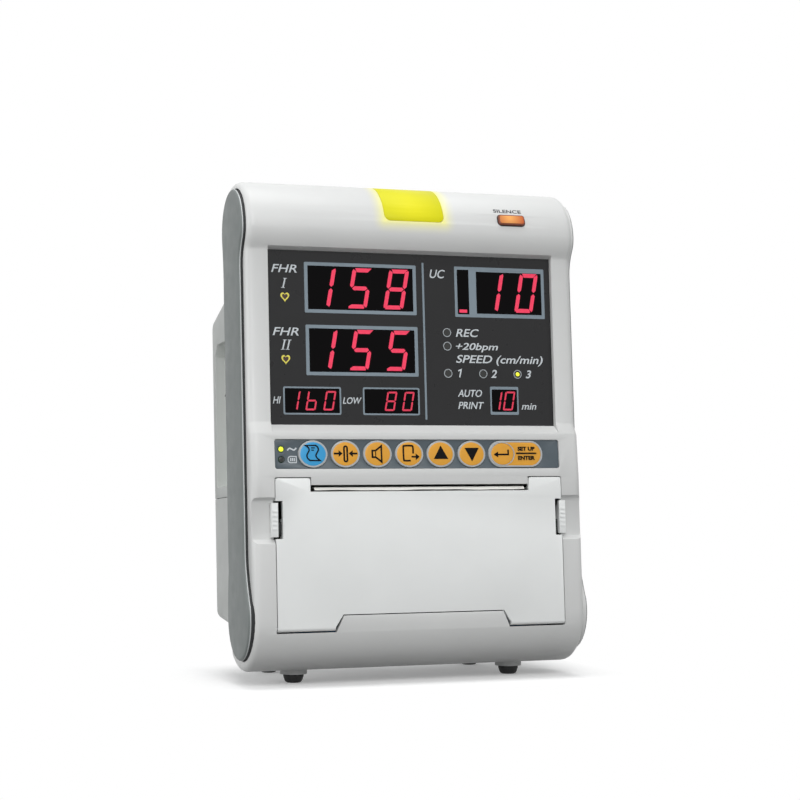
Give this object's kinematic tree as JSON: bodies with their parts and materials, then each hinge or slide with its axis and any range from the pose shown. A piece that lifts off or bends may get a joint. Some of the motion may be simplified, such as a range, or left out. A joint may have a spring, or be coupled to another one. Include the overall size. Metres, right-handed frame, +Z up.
{
  "type": "cardiotocograph",
  "caption": "Desk-top fetal monitor: leaning case with numeric display, round keys, alarm lamp and a strip-chart printer behind a hinged door.",
  "frame": {"origin": "on the table, below the middle of the bounding box", "axes": "+X to the right as a user facing the display sees it, +Y from the display to the back, +Z up"},
  "size_m": [0.1768, 0.0954, 0.245],
  "materials": {
    "shell_plastic": "fine spark-eroded satin, off-white",
    "door_plastic": "fine spark-eroded satin, off-white",
    "trim_plastic": "satin dark grey",
    "rear_plastic": "textured mid grey",
    "lens_plastic": "clear yellow, lit from behind",
    "window_plastic": "smoked, semi-gloss",
    "digit_plastic": "dark potting with red bars",
    "led_plastic": "clear",
    "circuit_board": "green solder mask",
    "overlay_film": "matt film",
    "key_orange": "satin",
    "key_blue": "satin",
    "silence_orange": "satin",
    "steel": "zinc plated",
    "motor_steel": "satin",
    "rubber_black": "matt",
    "bronze": "sintered",
    "brass_plain": "turned",
    "gear_plastic": "natural acetal",
    "head_aluminium": "extruded",
    "paper": "coated thermal paper",
    "tray_plastic": "satin",
    "battery_sleeve": "shrink sleeve",
    "speaker_black": "satin",
    "socket_plastic": "satin",
    "black_plastic": "semi-gloss",
    "cable_grey": "ribbed"
  },
  "bodies": {
    "root": {"front_shell": "shell_plastic", "left_side_trim": "trim_plastic", "right_side_trim": "trim_plastic", "alarm_lens": "lens_plastic", "alarm_lamp_board": "circuit_board", "display_window": "window_plastic", "display_board": "circuit_board", "large_digit_modules": "digit_plastic", "small_digit_modules": "digit_plastic", "indicator_leds": "led_plastic", "board_screws": "steel", "key_overlay": "overlay_film", "key_board": "circuit_board", "silence_switch": "circuit_board", "door_hinge_pins": "steel", "idler_pin": "steel", "step_motor": "motor_steel", "motor_bracket": "steel", "printer_frame": "steel", "frame_screws": "steel", "head_pivot_pin": "steel", "head_springs": "steel", "paper_web": "paper", "paper_tray": "tray_plastic", "back_cover": "rear_plastic", "lower_rear_cover": "rear_plastic", "case_screws": "steel", "main_board": "circuit_board", "power_supply": "circuit_board", "battery_pack": "battery_sleeve", "speaker": "speaker_black", "transducer_sockets": "socket_plastic", "data_socket": "black_plastic", "mains_inlet": "black_plastic", "power_switch_frame": "black_plastic", "earth_stud": "brass_plain", "ribbon_cable": "cable_grey", "rubber_feet": "rubber_black"},
    "door": {"paper_door": "door_plastic", "platen_bushes": "bronze"},
    "left_latch": {"left_latch": "door_plastic"},
    "right_latch": {"right_latch": "door_plastic"},
    "platen": {"platen_roller": "rubber_black", "platen_shaft": "steel", "platen_gear": "gear_plastic"},
    "idler": {"idler_gear": "gear_plastic"},
    "pinion": {"motor_pinion": "brass_plain"},
    "supply_roll": {"paper_roll": "paper", "roll_spindle": "gear_plastic"},
    "head": {"print_head": "head_aluminium"},
    "record_key": {"record_key": "key_blue"},
    "zero_key": {"zero_key": "key_orange"},
    "volume_key": {"volume_key": "key_orange"},
    "feed_key": {"feed_key": "key_orange"},
    "up_key": {"up_key": "key_orange"},
    "down_key": {"down_key": "key_orange"},
    "enter_key": {"enter_key": "key_orange"},
    "silence_button": {"silence_button": "silence_orange"},
    "power_rocker": {"power_rocker": "black_plastic"}
  },
  "joints": [
    {"name": "door_hinge", "type": "hinge", "parent": "root", "child": "door", "pos_m": [0, -0.0461, 0.02891], "axis": [1, 0, 0], "range_deg": [0, 85]},
    {"name": "left_latch_slide", "type": "slide", "parent": "door", "child": "left_latch", "axis": [1, 0, 0], "range_m": [0, 0.002], "stiffness_N_per_m": 400},
    {"name": "right_latch_slide", "type": "slide", "parent": "door", "child": "right_latch", "axis": [-1, 0, 0], "range_m": [0, 0.002], "stiffness_N_per_m": 400},
    {"name": "platen_spin", "type": "hinge", "parent": "door", "child": "platen", "pos_m": [0, -0.03318, 0.08756], "axis": [1, 0, 0], "continuous": true},
    {"name": "idler_spin", "type": "hinge", "parent": "root", "child": "idler", "pos_m": [0, -0.01516, 0.08359], "axis": [1, 0, 0], "continuous": true},
    {"name": "pinion_spin", "type": "hinge", "parent": "root", "child": "pinion", "pos_m": [0, -0.01634, 0.06678], "axis": [1, 0, 0], "continuous": true},
    {"name": "roll_spin", "type": "hinge", "parent": "root", "child": "supply_roll", "pos_m": [0, -0.01251, 0.05353], "axis": [1, 0, 0], "continuous": true},
    {"name": "head_tilt", "type": "hinge", "parent": "root", "child": "head", "pos_m": [0, -0.02394, 0.07638], "axis": [-1, 0, 0], "range_deg": [0, 2], "stiffness_Nm_per_rad": 1},
    {"name": "record_key_press", "type": "slide", "parent": "root", "child": "record_key", "axis": [0, 0.9928, -0.1197], "range_m": [0, 0.0006], "stiffness_N_per_m": 800},
    {"name": "zero_key_press", "type": "slide", "parent": "root", "child": "zero_key", "axis": [0, 0.9928, -0.1197], "range_m": [0, 0.0006], "stiffness_N_per_m": 800},
    {"name": "volume_key_press", "type": "slide", "parent": "root", "child": "volume_key", "axis": [0, 0.9928, -0.1197], "range_m": [0, 0.0006], "stiffness_N_per_m": 800},
    {"name": "feed_key_press", "type": "slide", "parent": "root", "child": "feed_key", "axis": [0, 0.9928, -0.1197], "range_m": [0, 0.0006], "stiffness_N_per_m": 800},
    {"name": "up_key_press", "type": "slide", "parent": "root", "child": "up_key", "axis": [0, 0.9928, -0.1197], "range_m": [0, 0.0006], "stiffness_N_per_m": 800},
    {"name": "down_key_press", "type": "slide", "parent": "root", "child": "down_key", "axis": [0, 0.9928, -0.1197], "range_m": [0, 0.0006], "stiffness_N_per_m": 800},
    {"name": "enter_key_press", "type": "slide", "parent": "root", "child": "enter_key", "axis": [0, 0.9928, -0.1197], "range_m": [0, 0.0006], "stiffness_N_per_m": 800},
    {"name": "silence_press", "type": "slide", "parent": "root", "child": "silence_button", "axis": [0, 0.9367, -0.3502], "range_m": [0, 0.0009], "stiffness_N_per_m": 800},
    {"name": "power_rock", "type": "hinge", "parent": "root", "child": "power_rocker", "pos_m": [-0.0758, 0.0212, 0.14841], "axis": [0, -0.9976, 0.0698], "range_deg": [0, 22]}
  ],
  "couplings": [
    {"joint": "idler_spin", "follows": "platen_spin", "ratio": -0.53333},
    {"joint": "pinion_spin", "follows": "platen_spin", "ratio": 1.3333},
    {"joint": "roll_spin", "follows": "platen_spin", "ratio": -0.31579}
  ]
}
